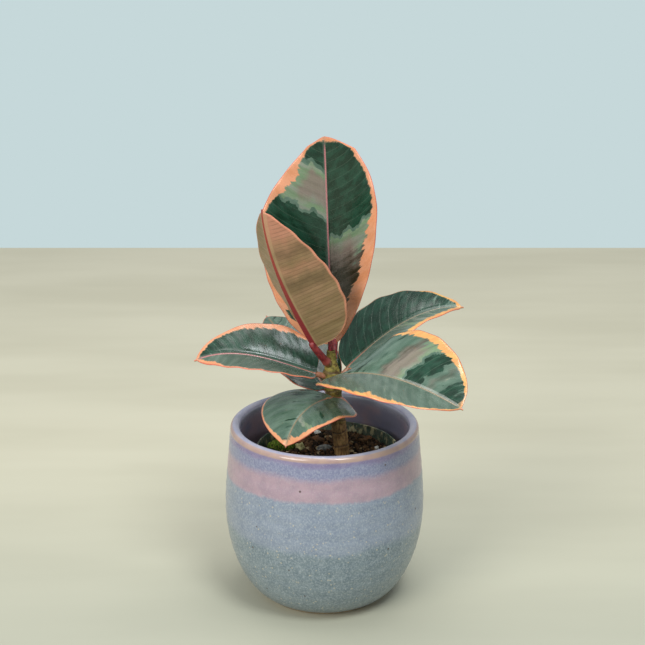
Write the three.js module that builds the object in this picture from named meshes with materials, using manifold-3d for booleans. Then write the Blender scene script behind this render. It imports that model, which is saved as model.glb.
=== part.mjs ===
// Potted rubber plant: a young variegated Ficus elastica in its nursery pot, standing in a glazed
// stoneware planter. Millimetres, +Z up. The origin is the centre of the planter's flat underside.

import * as THREE from 'three';
import { mergeVertices } from 'three/addons/utils/BufferGeometryUtils.js';
import Module from 'manifold-3d';

const wasm = await Module();
wasm.setup();

// ---------------------------------------------------------------------------------------------
// Driving dimensions
// ---------------------------------------------------------------------------------------------

const GAP = 0.3; // between pieces that touch each other

const PLANTER = {
  height: 99.6,
  footRadius: 32.4, // flat underside
  footHeight: 1.2, // unglazed foot edge
  bellyRadius: 54.6, // widest place
  bellyHeight: 52,
  rimRadius: 51.4, // outside, just under the rounded lip
  lipRadius: 2.8, // rounding of the lip, so the wall is twice this thick
  floor: 6.5, // thickness under the nursery pot
  floorRadius: 34, // flat part of the floor inside
  footFlare: 1, // the foot's edge leans out this much
  outside: { foot: [44, 6], lowBelly: [54.2, 26], highBelly: [54.8, 66], neck: [52.4, 84] },
  inside: { neck: [46.2, 84], highBelly: [49, 66], lowBelly: [49, 26], floor: [43, 6.5] },
  sides: 48,
  curveSteps: 5,
};

const NURSERY_POT = {
  centre: [1.5, 1.5], // it stands a little off the planter's axis
  height: 77.5,
  baseRadius: 28,
  shoulderRadius: 36.6, // just under the collar
  shoulderHeight: 67,
  rimRadius: 39.3, // outside of the collar
  wall: 1.2,
  base: 1.6, // thickness of the bottom
  edge: 1, // rounding where the bottom meets the wall
  collarRise: 1.5, // height of the slope from the wall out to the collar
  drainRadius: 3,
  drainCircle: 17,
  drainCount: 6,
  drainSides: 12,
  sides: 40,
};

const SOIL = {
  level: 81, // mean height of the surface
  edgeDrop: 1.5, // the surface falls a little towards the pot's wall
  bump: 0.9, // height of the crumbs' gentle mounds
  clearance: 0.6, // between the mix and the nursery pot's wall
  mound: { x: [5.1, 0.8], y: 6.3 }, // lengths and shift of the broad mounds
  ripple: { x: 2.9, y: 3.4, share: 0.5 }, // lengths and share of the small ones
  rings: 6,
  sides: 32,
};

const STEM = {
  path: [[9.7, -2.4, 71], [9.9, -1, 98], [3.2, 0.5, 116], [3.5, 2, 140]], // Bezier control points
  footRadius: 4.3,
  footTaper: [71, 105], // heights between which it thins to the middle radius
  middleRadius: 3.9,
  nodeSwelling: 1.3, // where the leaf bases crowd together
  nodeHeight: 124,
  nodeSpread: 7,
  tipTaper: [124, 141], // heights between which it thins to the tip radius
  tipRadius: 2.3,
  sides: 14,
  steps: 22,
  halvings: 24, // when looking for the axis at a height
};

const BLADE = {
  edgeThickness: 0.8,
  midribDepth: 1.7, // how far the midrib stands out under the base of the blade
  midribFade: 0.75, // share of that depth lost by the tip
  leastHalfWidth: 0.9, // at the very base and tip
  end: 0.985, // where the outline has narrowed to the drip tip, unless a side says otherwise
  closing: 0.04, // share of the length over which the very tip rounds off
  steps: 18, // cells from base to tip
  columns: 8, // cells from margin to margin
  crowding: 1.6, // draws the columns towards the midrib
  endCrowding: 0.65, // draws the steps towards base and tip
  leastCurl: 1e-4, // stands for no curl at all
  sweepPower: 1.5, // the margin is swept along more than the places nearer the midrib
};

const PETIOLE = {
  sides: 10,
  steps: 7,
  reach: 4, // how far it runs on under the blade
  sink: 0.9, // depth of its axis below the blade's middle
  flare: [1.15, 0.9], // thickness at the stem and at the blade
};

const BUD = {
  radius: 1.75,
  tipRadius: 0.25,
  rise: [[-0.6, -0.4, 6], [-1.6, -0.9, 12]], // bend and tip, from the foot
  slimming: 1.4, // power of the taper
  sides: 10,
  steps: 6,
};

// Each blade grows from `base` along a heading given by azimuth and elevation (degrees, from +X and
// from level) and is rolled about its midrib. A side's `fold` lifts it towards the upper face and
// `curl` adds to that lift by the margin. `widest`, `shoulder` and `taper` shape the outline. Any of
// these may be a list of three Bezier control values from base to tip. `left` and `right` are as seen
// from the base with the upper face up. The petiole leaves the stem at `node` and bends at `bend`.
const LEAVES = {
  leaf_upright_back: {
    base: [5.6, 8.5, 141.5], length: 113, azimuth: 150, elevation: [84, 89, 87], roll: 80,
    left: { width: 36.5, fold: [28, 28, 24], curl: -8, widest: 0.56, shoulder: 0.42, taper: 1.12,
      end: 1.05 },
    right: { width: 34.5, fold: [28, 28, 24], curl: -8, widest: 0.69, shoulder: 0.72, taper: 0.56,
      end: 1.05 },
    petiole: { node: 133, bend: [5.2, 5.2, 136], radius: 2 },
  },
  leaf_upright_front: {
    base: [-5.3, -7, 145], length: 85, azimuth: -150, elevation: [60, 62, 84], roll: -20,
    left: { width: 28.5, fold: 35, curl: [-10, -5, 0], widest: 0.33, shoulder: 0.3, taper: 0.72 },
    right: { width: 17.5, fold: 26, curl: [-10, -5, 0], widest: 0.62, shoulder: 1.8, taper: 0.68 },
    petiole: { node: 131, bend: [-0.5, -5, 137], radius: 2 },
  },
  leaf_left: {
    base: [-4.8, -3.5, 128.3], length: 67, azimuth: [180, 182, 186], elevation: [18, 28, -24], roll: 22,
    left: { width: 20, fold: [34, 32, 0], curl: -10, widest: 0.36, shoulder: 0.25, taper: 0.75 },
    right: { width: 21.5, fold: [34, 30, 16], curl: -10, widest: 0.36, shoulder: 0.25, taper: 0.75 },
    petiole: { node: 124, bend: [0, -1, 127], radius: 1.6 },
  },
  leaf_back_left: {
    base: [1.5, 10, 115], length: 64, azimuth: [130, 127, 124], elevation: [28, 27, 20], roll: 12,
    left: { width: 19, fold: 14, curl: -10, widest: 0.4, shoulder: 0.35, taper: 0.7 },
    right: { width: 20, fold: 14, curl: -10, widest: 0.4, shoulder: 0.35, taper: 0.7 },
    petiole: { node: 108, bend: [4, 6, 112], radius: 1.5 },
  },
  leaf_back_right: {
    base: [12.3, 11, 126.7], length: 75, azimuth: [22, 16, 9], elevation: [38, 40, -8], roll: -5,
    left: { width: 25.5, fold: [24, 27, 20], curl: -10, widest: 0.42, shoulder: 0.4, taper: 0.65 },
    right: { width: 21.5, fold: [20, 20, 14], curl: -10, widest: 0.4, shoulder: 0.4, taper: 0.65 },
    petiole: { node: 120, bend: [9, 6, 124], radius: 1.6 },
  },
  leaf_front_right: {
    base: [-3, -15, 127.5], length: 87, azimuth: [-25, -30, -35], elevation: [34, -14, -18],
    roll: [20, -45, -20],
    left: { width: 31, fold: [-15, 34, 22], curl: -8, widest: 0.5, shoulder: 0.5, taper: 0.5 },
    right: { width: 26, fold: [-12, 34, 26], curl: -8, widest: 0.5, shoulder: 0.5, taper: 0.5 },
    petiole: { node: 121, bend: [-1, -8, 123], radius: 1.6 },
  },
  leaf_front: {
    base: [3.8, -10, 117], length: 42, azimuth: [-145, -135, -115], elevation: [5, -25, -60],
    roll: [8, 4, 0],
    left: { width: 27, fold: [5, 22, 25], curl: [-20, -20, -10], widest: 0.3, shoulder: 0.45,
      taper: 0.75, sweep: [-7, 0, 0] },
    right: { width: 31, fold: 0, curl: [-20, -20, -10], widest: 0.36, shoulder: 0.45, taper: 0.95,
      sweep: [-2, 4, 0] },
    petiole: { node: 110, bend: [6, -5, 116], radius: 1.5 },
  },
};

// Loose pieces on the soil: plan position, half sizes and turn. They sit half sunk in it.
const LOOSE_PIECES = {
  moss_left: { kind: 'moss', at: [-24, 8], size: [8, 6, 2.6], turn: 20 },
  moss_back_left: { kind: 'moss', at: [-22, 22], size: [6, 5, 2.2], turn: -30 },
  moss_front: { kind: 'moss', at: [-14, -22], size: [9, 6, 2.4], turn: 35 },
  moss_right: { kind: 'moss', at: [27, -12], size: [5, 4, 2], turn: 70 },
  pale_chip: { kind: 'chip', at: [-13.5, 7.5], size: [2.6, 3.4, 2.4], turn: 15 },
  pebble: { kind: 'pebble', at: [0, 4.5], size: [4.6, 3, 2.2], turn: 10 },
  bark_back: { kind: 'bark', at: [-4, 20], size: [5, 2.4, 1.6], turn: -25 },
  bark_left: { kind: 'bark', at: [-12, 15], size: [3.6, 2.2, 1.6], turn: 60 },
  bark_right: { kind: 'bark', at: [23, 19], size: [4.4, 2, 1.5], turn: 35 },
  bark_front: { kind: 'bark', at: [6, -24], size: [5, 2.3, 1.5], turn: -15 },
  bark_front_left: { kind: 'bark', at: [-27, -7], size: [4, 2.1, 1.5], turn: 75 },
  perlite_back: { kind: 'perlite', at: [-4, 30], size: [1.9, 1.7, 1.5], turn: 0 },
  perlite_right: { kind: 'perlite', at: [29, 6], size: [1.8, 1.5, 1.4], turn: 40 },
  perlite_front: { kind: 'perlite', at: [16, -18], size: [1.9, 1.6, 1.5], turn: 80 },
};

const UNEVEN_RATES = [5.3, 4.7, 3.9]; // how fast a loose piece's unevenness varies along each axis
const UNEVEN_SHIFT = 2.1; // sets the pieces apart in y

const KINDS = {
  moss: { detail: 2, roughness: 0.16, rise: 0.25 },
  bark: { detail: 1, roughness: 0.2, rise: 0.3 },
  chip: { detail: 1, roughness: 0.16, rise: 0.45 },
  pebble: { detail: 1, roughness: 0.08, rise: 0.3 },
  perlite: { detail: 1, roughness: 0.14, rise: 0.4 },
};

// ---------------------------------------------------------------------------------------------
// Materials
// ---------------------------------------------------------------------------------------------

function finish(color, roughness) {
  return new THREE.MeshStandardMaterial({ color, roughness, metalness: 0 });
}

const materials = {
  glaze: () => finish(0x9a95ab, 0.3),
  nurseryPlastic: () => finish(0x5c5d52, 0.6),
  soil: () => finish(0x2e241c, 0.95),
  stem: () => finish(0x7c7440, 0.65),
  bud: () => finish(0x7d2630, 0.45),
  leaf: () => finish(0x47624d, 0.35),
  moss: () => finish(0x5f7a35, 0.9),
  bark: () => finish(0x5a3d28, 0.85),
  chip: () => finish(0xcdbd94, 0.8),
  pebble: () => finish(0x8d8f8c, 0.7),
  perlite: () => finish(0xe4e3de, 0.85),
};

// ---------------------------------------------------------------------------------------------
// Solids
// ---------------------------------------------------------------------------------------------

function toSolid(geometry) {
  const bare = geometry.index ? geometry.clone() : geometry;
  bare.deleteAttribute('normal');
  bare.deleteAttribute('uv');
  const merged = mergeVertices(bare);
  const vertProperties = new Float32Array(merged.attributes.position.array);
  const triVerts = new Uint32Array(merged.index.array);
  return new wasm.Manifold(new wasm.Mesh({ numProp: 3, vertProperties, triVerts }));
}

function toGeometry(solid) {
  const mesh = solid.getMesh();
  const geometry = new THREE.BufferGeometry();
  geometry.setAttribute('position', new THREE.BufferAttribute(mesh.vertProperties, 3));
  geometry.setIndex(new THREE.BufferAttribute(mesh.triVerts, 1));
  geometry.computeVertexNormals();
  return geometry;
}

// Moves every vertex of a geometry to move(x, y, z).
function reshape(geometry, move) {
  const position = geometry.attributes.position;
  for (let i = 0; i < position.count; i += 1) {
    const to = move(position.getX(i), position.getY(i), position.getZ(i));
    position.setXYZ(i, to.x, to.y, to.z);
  }
  return geometry;
}

// A turned solid: the profile's x is the radius and its y becomes the height.
function turned(profile, sides) {
  const geometry = new THREE.LatheGeometry(profile, sides);
  geometry.rotateX(Math.PI / 2);
  return geometry;
}

// No tube runs along this direction, so each takes its sideways from it.
const TUBE_REFERENCE = new THREE.Vector3(0.2, 1, 0.1);

// A closed tube along a curve, with a radius that depends on the place along it.
function bentTube(curve, radiusAt, sides, steps) {
  const tube = new THREE.CylinderGeometry(1, 1, 1, sides, steps);
  tube.rotateX(Math.PI / 2);
  return reshape(tube, (x, y, z) => {
    const t = z + 0.5;
    const tangent = curve.getTangent(t);
    const side = tangent.clone().cross(TUBE_REFERENCE).normalize();
    const up = tangent.clone().cross(side);
    const radius = radiusAt(t);
    return curve.getPoint(t).addScaledVector(side, x * radius).addScaledVector(up, y * radius);
  });
}

const vector = (values) => new THREE.Vector3(...values);
const radians = THREE.MathUtils.degToRad;
const { clamp, lerp, smoothstep } = THREE.MathUtils;

// A value along a leaf: a number, or three Bezier control values.
function along(value, u) {
  if (!Array.isArray(value)) return value;
  const [first, middle, last] = value;
  return (1 - u) ** 2 * first + 2 * u * (1 - u) * middle + u ** 2 * last;
}

// ---------------------------------------------------------------------------------------------
// Planter, nursery pot and soil
// ---------------------------------------------------------------------------------------------

function planter() {
  const { height, footRadius, footHeight, bellyRadius, bellyHeight, rimRadius, lipRadius } = PLANTER;
  const { outside, inside } = PLANTER;
  const lipCentre = [rimRadius - lipRadius, height - lipRadius];
  const innerBelly = [bellyRadius - 2 * lipRadius, bellyHeight];
  const profile = new THREE.Path();
  profile.moveTo(0, 0);
  profile.lineTo(footRadius, 0);
  profile.lineTo(footRadius + PLANTER.footFlare, footHeight);
  profile.bezierCurveTo(...outside.foot, ...outside.lowBelly, bellyRadius, bellyHeight);
  profile.bezierCurveTo(...outside.highBelly, ...outside.neck, rimRadius, lipCentre[1]);
  profile.absarc(...lipCentre, lipRadius, 0, Math.PI, false);
  profile.bezierCurveTo(...inside.neck, ...inside.highBelly, ...innerBelly);
  profile.bezierCurveTo(...inside.lowBelly, ...inside.floor, PLANTER.floorRadius, PLANTER.floor);
  profile.lineTo(0, PLANTER.floor);
  return turned(profile.getPoints(PLANTER.curveSteps), PLANTER.sides);
}

function nurseryPot() {
  const { height, baseRadius, shoulderRadius, shoulderHeight, rimRadius, wall } = NURSERY_POT;
  const { base, edge, collarRise } = NURSERY_POT;
  const profile = [
    [0, 0],
    [baseRadius - edge, 0],
    [baseRadius, edge],
    [shoulderRadius, shoulderHeight],
    [rimRadius - wall / 2, shoulderHeight + collarRise],
    [rimRadius, height - edge],
    [rimRadius - wall / 3, height],
    [rimRadius - wall, height],
    [rimRadius - 1.5 * wall, shoulderHeight + 1.5 * collarRise],
    [shoulderRadius - wall, shoulderHeight],
    [baseRadius - wall, base],
    [0, base],
  ].map(([radius, z]) => new THREE.Vector2(radius, z));
  let pot = toSolid(turned(profile, NURSERY_POT.sides));
  const { drainRadius, drainCircle, drainCount, drainSides } = NURSERY_POT;
  for (let i = 0; i < drainCount; i += 1) {
    const angle = (i / drainCount) * 2 * Math.PI;
    const drain = new THREE.CylinderGeometry(drainRadius, drainRadius, 4 * base, drainSides);
    drain.rotateX(Math.PI / 2);
    drain.translate(Math.cos(angle) * drainCircle, Math.sin(angle) * drainCircle, 0);
    pot = pot.subtract(toSolid(drain));
  }
  const geometry = toGeometry(pot);
  geometry.translate(...NURSERY_POT.centre, PLANTER.floor + GAP);
  return geometry;
}

// Height of the soil over a place in plan, with gentle mounds that die out at the pot's wall.
function soilHeight(x, y) {
  const { mound, ripple } = SOIL;
  const [centreX, centreY] = NURSERY_POT.centre;
  const reach = Math.hypot(x - centreX, y - centreY) / NURSERY_POT.shoulderRadius;
  const broad = Math.sin(x / mound.x[0] + mound.x[1]) * Math.cos(y / mound.y);
  const small = ripple.share * Math.sin(x / ripple.x - y / ripple.y);
  return SOIL.level + SOIL.bump * (broad + small) * (1 - reach ** 4) - SOIL.edgeDrop * reach ** 3;
}

function soil(stemSolid, looseSolids) {
  const { baseRadius, shoulderRadius, shoulderHeight, wall, base } = NURSERY_POT;
  const floor = PLANTER.floor + base + 2 * GAP;
  const skin = wall + SOIL.clearance;
  const profile = [
    new THREE.Vector2(0, floor),
    new THREE.Vector2(baseRadius - skin, floor),
    new THREE.Vector2(shoulderRadius - skin, PLANTER.floor + shoulderHeight),
  ];
  for (let i = 0; i <= SOIL.rings; i += 1) {
    profile.push(new THREE.Vector2((shoulderRadius - skin) * (1 - i / SOIL.rings), SOIL.level));
  }
  const body = turned(profile, SOIL.sides);
  body.translate(...NURSERY_POT.centre, 0);
  reshape(body, (x, y, z) => new THREE.Vector3(x, y, z === SOIL.level ? soilHeight(x, y) : z));
  let solid = toSolid(body).subtract(stemSolid);
  for (const piece of looseSolids) solid = solid.subtract(piece);
  return toGeometry(solid);
}

// ---------------------------------------------------------------------------------------------
// Stem and bud
// ---------------------------------------------------------------------------------------------

const stemCurve = new THREE.CubicBezierCurve3(...STEM.path.map(vector));

function stemRadius(height) {
  const lower = lerp(STEM.footRadius, STEM.middleRadius, smoothstep(height, ...STEM.footTaper));
  const swelling = STEM.nodeSwelling * Math.exp(-(((height - STEM.nodeHeight) / STEM.nodeSpread) ** 2));
  return lerp(lower, STEM.tipRadius, smoothstep(height, ...STEM.tipTaper)) + swelling;
}

// The stem, or with a margin the space it needs.
function stem(margin = 0) {
  const radiusAt = (t) => stemRadius(stemCurve.getPoint(t).z) + margin;
  return bentTube(stemCurve, radiusAt, STEM.sides, STEM.steps);
}

// A point on the stem's axis at a height, found by halving.
function stemAxisAt(height) {
  let low = 0;
  let high = 1;
  for (let i = 0; i < STEM.halvings; i += 1) {
    const middle = (low + high) / 2;
    if (stemCurve.getPoint(middle).z < height) low = middle;
    else high = middle;
  }
  return stemCurve.getPoint(low);
}

// The pointed sheath round the growing tip, on top of the stem.
function terminalBud() {
  const foot = stemCurve.getPoint(1).add(new THREE.Vector3(0, 0, GAP));
  const [bend, tip] = BUD.rise.map((rise) => foot.clone().add(vector(rise)));
  const path = new THREE.QuadraticBezierCurve3(foot, bend, tip);
  const radiusAt = (t) => lerp(BUD.radius, BUD.tipRadius, t ** BUD.slimming);
  return bentTube(path, radiusAt, BUD.sides, BUD.steps);
}

// ---------------------------------------------------------------------------------------------
// Leaves
// ---------------------------------------------------------------------------------------------

// Half width of a side as a share of its greatest, from base (u = 0) to tip (u = 1).
function outline(side, u) {
  const rise = Math.sin((Math.PI / 2) * clamp(u / side.widest, 0, 1)) ** side.shoulder;
  const end = side.end ?? BLADE.end;
  const narrowing = clamp((u - side.widest) / (end - side.widest), 0, 1);
  const closing = Math.sqrt(clamp((1 - u) / BLADE.closing, 0, 1));
  const fall = Math.cos((Math.PI / 2) * narrowing) ** side.taper * closing;
  return u < side.widest ? rise : fall;
}

// The directions of growth, of the blade's right and of its upper face at u.
function bladeFrame(leaf, u) {
  const azimuth = radians(along(leaf.azimuth, u));
  const elevation = radians(along(leaf.elevation, u));
  const roll = radians(along(leaf.roll, u));
  const growth = new THREE.Vector3(
    Math.cos(elevation) * Math.cos(azimuth),
    Math.cos(elevation) * Math.sin(azimuth),
    Math.sin(elevation),
  );
  const level = new THREE.Vector3(Math.sin(azimuth), -Math.cos(azimuth), 0);
  const face = level.clone().cross(growth);
  return {
    growth,
    right: level.clone().multiplyScalar(Math.cos(roll)).addScaledVector(face, Math.sin(roll)),
    upper: face.clone().multiplyScalar(Math.cos(roll)).addScaledVector(level, -Math.sin(roll)),
  };
}

// Place of a step along the blade, from 0 to 1, with the steps closer together at both ends.
function station(step) {
  const even = step / BLADE.steps;
  return lerp(even, (1 - Math.cos(Math.PI * even)) / 2, BLADE.endCrowding);
}

// Midrib points, one for each step, found by walking along the direction of growth.
function midribOf(leaf) {
  const points = [vector(leaf.base)];
  for (let step = 0; step < BLADE.steps; step += 1) {
    const [from, to] = [station(step), station(step + 1)];
    const { growth } = bladeFrame(leaf, (from + to) / 2);
    points.push(points[step].clone().addScaledVector(growth, leaf.length * (to - from)));
  }
  return points;
}

// A point of the blade at a step, at v across it (-1 left margin, 1 right margin), offset along the
// upper face.
function bladePoint(leaf, midrib, step, v, offset) {
  const u = station(step);
  const frame = bladeFrame(leaf, u);
  const side = v < 0 ? leaf.left : leaf.right;
  const reach = Math.abs(v);
  const halfWidth = Math.max(side.width * outline(side, u), BLADE.leastHalfWidth);
  const fold = radians(along(side.fold, u));
  const curl = radians(along(side.curl, u)) || BLADE.leastCurl;
  const across = (halfWidth / curl) * (Math.sin(fold + curl * reach) - Math.sin(fold));
  const lift = (halfWidth / curl) * (Math.cos(fold) - Math.cos(fold + curl * reach));
  const sweep = along(side.sweep ?? 0, u) * reach ** BLADE.sweepPower;
  return midrib[step].clone()
    .addScaledVector(frame.right, Math.sign(v) * across)
    .addScaledVector(frame.upper, lift + offset)
    .addScaledVector(frame.growth, sweep);
}

// The blade is a thin slab, thickened from below along the midrib.
function blade(leaf, midrib) {
  const slab = new THREE.BoxGeometry(1, 2, 1, BLADE.steps, BLADE.columns, 1);
  return reshape(slab, (x, y, z) => {
    const step = Math.round((x + 0.5) * BLADE.steps);
    const v = -Math.sign(y) * Math.abs(y) ** BLADE.crowding;
    const onMidrib = Math.abs(y) < 1 / BLADE.columns;
    const ridge = onMidrib ? BLADE.midribDepth * (1 - BLADE.midribFade * station(step)) : 0;
    const offset = z > 0 ? BLADE.edgeThickness / 2 : -BLADE.edgeThickness / 2 - ridge;
    return bladePoint(leaf, midrib, step, v, offset);
  });
}

function petiole(leaf, midrib) {
  const start = stemAxisAt(leaf.petiole.node);
  const { growth, upper } = bladeFrame(leaf, 0);
  const end = midrib[0].clone()
    .addScaledVector(growth, PETIOLE.reach)
    .addScaledVector(upper, -PETIOLE.sink);
  const path = new THREE.QuadraticBezierCurve3(start, vector(leaf.petiole.bend), end);
  const radiusAt = (t) => leaf.petiole.radius * lerp(...PETIOLE.flare, t);
  return bentTube(path, radiusAt, PETIOLE.sides, PETIOLE.steps);
}

// Blade and petiole grow as one, and the leaf base stops just short of the stem.
function leafGeometry(leaf, stemSpace) {
  const midrib = midribOf(leaf);
  const whole = toSolid(blade(leaf, midrib)).add(toSolid(petiole(leaf, midrib)));
  return toGeometry(whole.subtract(stemSpace));
}

// ---------------------------------------------------------------------------------------------
// Loose pieces on the soil
// ---------------------------------------------------------------------------------------------

// A repeatable uneven factor between -1 and 1 for a direction.
function unevenness({ x, y, z }, seed) {
  const [alongX, alongY, alongZ] = UNEVEN_RATES;
  const inX = Math.sin(x * alongX + seed);
  const inY = Math.cos(y * alongY - UNEVEN_SHIFT * seed);
  return inX * inY * Math.cos(z * alongZ + seed);
}

function loosePiece({ kind, at, size, turn }, seed, margin = 0) {
  const { detail, roughness, rise } = KINDS[kind];
  const lump = new THREE.IcosahedronGeometry(1, detail);
  reshape(lump, (x, y, z) => {
    const direction = new THREE.Vector3(x, y, z);
    const factor = 1 + roughness * unevenness(direction, seed);
    const point = direction.multiplyScalar(factor).multiply(vector(size));
    return point.addScaledVector(point.clone().normalize(), margin);
  });
  lump.rotateZ(radians(turn));
  lump.translate(...at, soilHeight(...at) + size[2] * rise);
  return lump;
}

// ---------------------------------------------------------------------------------------------
// Assembly
// ---------------------------------------------------------------------------------------------

const pottedPlant = new THREE.Group();

function place(name, geometry, material) {
  const mesh = new THREE.Mesh(geometry, material);
  mesh.name = name;
  pottedPlant.add(mesh);
}

const stemSpace = toSolid(stem(GAP));
const loose = Object.entries(LOOSE_PIECES);
const looseSpaces = loose.map(([, piece], seed) => toSolid(loosePiece(piece, seed, GAP)));

place('planter', planter(), materials.glaze());
place('nursery_pot', nurseryPot(), materials.nurseryPlastic());
place('potting_mix', soil(stemSpace, looseSpaces), materials.soil());
place('main_stem', stem(), materials.stem());
place('terminal_bud', terminalBud(), materials.bud());
for (const [name, leaf] of Object.entries(LEAVES)) {
  place(name, leafGeometry(leaf, stemSpace), materials.leaf());
}
loose.forEach(([name, piece], seed) => {
  place(name, loosePiece(piece, seed), materials[piece.kind]());
});

export default pottedPlant;
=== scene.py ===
"""Looks of the potted rubber plant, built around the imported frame. Metres, +Z up.

Shapes are worked out in millimetres and written to the meshes in metres.
"""
import math

import bmesh
import bpy
import numpy as np
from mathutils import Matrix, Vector, noise


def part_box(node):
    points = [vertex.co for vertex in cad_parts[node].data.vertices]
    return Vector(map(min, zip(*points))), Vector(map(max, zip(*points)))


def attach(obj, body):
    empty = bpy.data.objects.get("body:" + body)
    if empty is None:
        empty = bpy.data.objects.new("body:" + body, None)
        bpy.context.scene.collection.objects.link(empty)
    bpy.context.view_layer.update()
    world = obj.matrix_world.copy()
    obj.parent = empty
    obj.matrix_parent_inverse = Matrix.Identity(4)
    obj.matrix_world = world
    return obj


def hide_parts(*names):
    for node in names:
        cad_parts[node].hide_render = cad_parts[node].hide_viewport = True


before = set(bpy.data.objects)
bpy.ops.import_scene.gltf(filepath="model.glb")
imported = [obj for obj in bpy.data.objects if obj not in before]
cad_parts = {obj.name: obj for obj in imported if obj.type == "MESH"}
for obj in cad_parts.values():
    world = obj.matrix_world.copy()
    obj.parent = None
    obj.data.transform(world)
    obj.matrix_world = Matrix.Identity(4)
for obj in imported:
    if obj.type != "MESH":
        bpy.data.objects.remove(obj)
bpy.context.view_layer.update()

MM = 0.001
TAU = 2 * math.pi

# Where the camera stands and what lies behind the plant.
CAMERA = {"location": (-0.0011, -0.7614, 0.4015), "pitch": 17.85, "lens": 83.72}
TABLE_BACK = 0.737  # where the floor ends behind the plant
SKY = (198, 216, 218)
FLOOR = (214, 210, 186)


def tint(red, green, blue):
    """A linear colour from the usual 0 to 255 values."""
    def straight(value):
        value /= 255
        return value / 12.92 if value <= 0.04045 else ((value + 0.055) / 1.055) ** 2.4
    return (straight(red), straight(green), straight(blue), 1.0)


# ---- Node materials ----

class Surface:
    """A node material being put together."""

    def __init__(self, name, **constants):
        self.material = bpy.data.materials.new(name)
        self.material.use_nodes = True
        self.tree = self.material.node_tree
        self.tree.nodes.clear()
        self.output = self.node("OutputMaterial")
        self.shader = self.node("BsdfPrincipled")
        self.tree.links.new(self.shader.outputs["BSDF"], self.output.inputs["Surface"])
        for socket, value in constants.items():
            self.shader.inputs[socket.replace("_", " ")].default_value = value

    def feed(self, socket, value):
        if isinstance(value, bpy.types.NodeSocket):
            self.tree.links.new(value, socket)
        elif socket.type == "RGBA" and len(value) == 3:
            socket.default_value = tint(*value)
        else:
            socket.default_value = value

    def node(self, kind, inputs=(), **settings):
        made = self.tree.nodes.new("ShaderNode" + kind)
        for key, value in settings.items():
            setattr(made, key, value)
        for key, value in dict(inputs).items():
            self.feed(made.inputs[key], value)
        return made

    def math(self, operation, *values):
        return self.node("Math", dict(enumerate(values)), operation=operation).outputs[0]

    def plus(self, *values):
        return self.math("ADD", *values)

    def minus(self, *values):
        return self.math("SUBTRACT", *values)

    def times(self, *values):
        return self.math("MULTIPLY", *values)

    def mix(self, share, first, second):
        made = self.node("Mix", data_type="RGBA")
        for index, value in ((0, share), (6, first), (7, second)):
            self.feed(made.inputs[index], value)
        return made.outputs[2]

    def ease(self, value, low, high, to_low=0.0, to_high=1.0):
        made = self.node("MapRange", {"Value": value, "From Min": low, "From Max": high,
                                      "To Min": to_low, "To Max": to_high},
                         interpolation_type="SMOOTHSTEP")
        return made.outputs["Result"]

    def millimetres(self):
        place = self.node("TexCoord").outputs["Object"]
        return self.node("VectorMath", {0: place, "Scale": 1 / MM}, operation="SCALE").outputs[0]

    def attribute(self, name):
        return self.node("Attribute", attribute_name=name, attribute_type="GEOMETRY").outputs["Vector"]

    def split(self, vector):
        return self.node("SeparateXYZ", {0: vector}).outputs[:]

    def join(self, x, y, z):
        return self.node("CombineXYZ", {0: x, 1: y, 2: z}).outputs[0]

    def stretch(self, vector, x, y, z):
        return self.node("VectorMath", {0: vector, 1: (x, y, z)}, operation="MULTIPLY").outputs[0]

    def noise(self, vector, scale, detail=2.0, roughness=0.5, distortion=0.0):
        made = self.node("TexNoise", {"Vector": vector, "Scale": scale, "Detail": detail,
                                      "Roughness": roughness, "Distortion": distortion})
        return made.outputs[0]

    def cells(self, vector, scale):
        """The distance to the nearest of many scattered points."""
        return self.node("TexVoronoi", {"Vector": vector, "Scale": scale}).outputs["Distance"]

    def clouds(self, vector, scale, detail, roughness=0.5, most=1.0):
        """Soft noise from 0 to 1."""
        return self.ease(self.noise(vector, scale, detail, roughness), 0.35, 0.65, 0.0, most)

    def rough(self, value, low, high):
        """A roughness from a noise value."""
        return self.ease(value, 0.3, 0.7, low, high)

    def centred(self, value, gain):
        """A noise value moved to swing about 0."""
        return self.times(self.minus(value, 0.5), gain)

    def bump(self, height, strength, distance):
        """The normal from a height. The distance is in metres."""
        return self.node("Bump", {"Height": height, "Strength": strength, "Distance": distance}).outputs[0]

    def paint(self, share, over, most=None):
        """Lay another colour over the one so far, by a share of 0 to 1 or up to `most`."""
        self.color = self.mix(share if most is None else self.times(share, most), self.color, over)

    def finish(self, roughness, normal):
        self.feed(self.shader.inputs["Base Color"], self.color)
        self.feed(self.shader.inputs["Roughness"], roughness)
        self.feed(self.shader.inputs["Normal"], normal)
        return self.material


VEIN_SPACING = 5.2  # between main side veins, along the midrib
FINE_VEIN_SPACING = 1.3
YOUNG_VEIN_SPACING = 2.2
STREAK_SHIFT = 17.3  # how far each leaf moves through the noise
PATCH_SHIFT = 31.7
MIDDLE_FROM = (0.23, 0.3)  # where the tone passes from dark to middle green
PALE_FROM = (0.72, 0.8)


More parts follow.
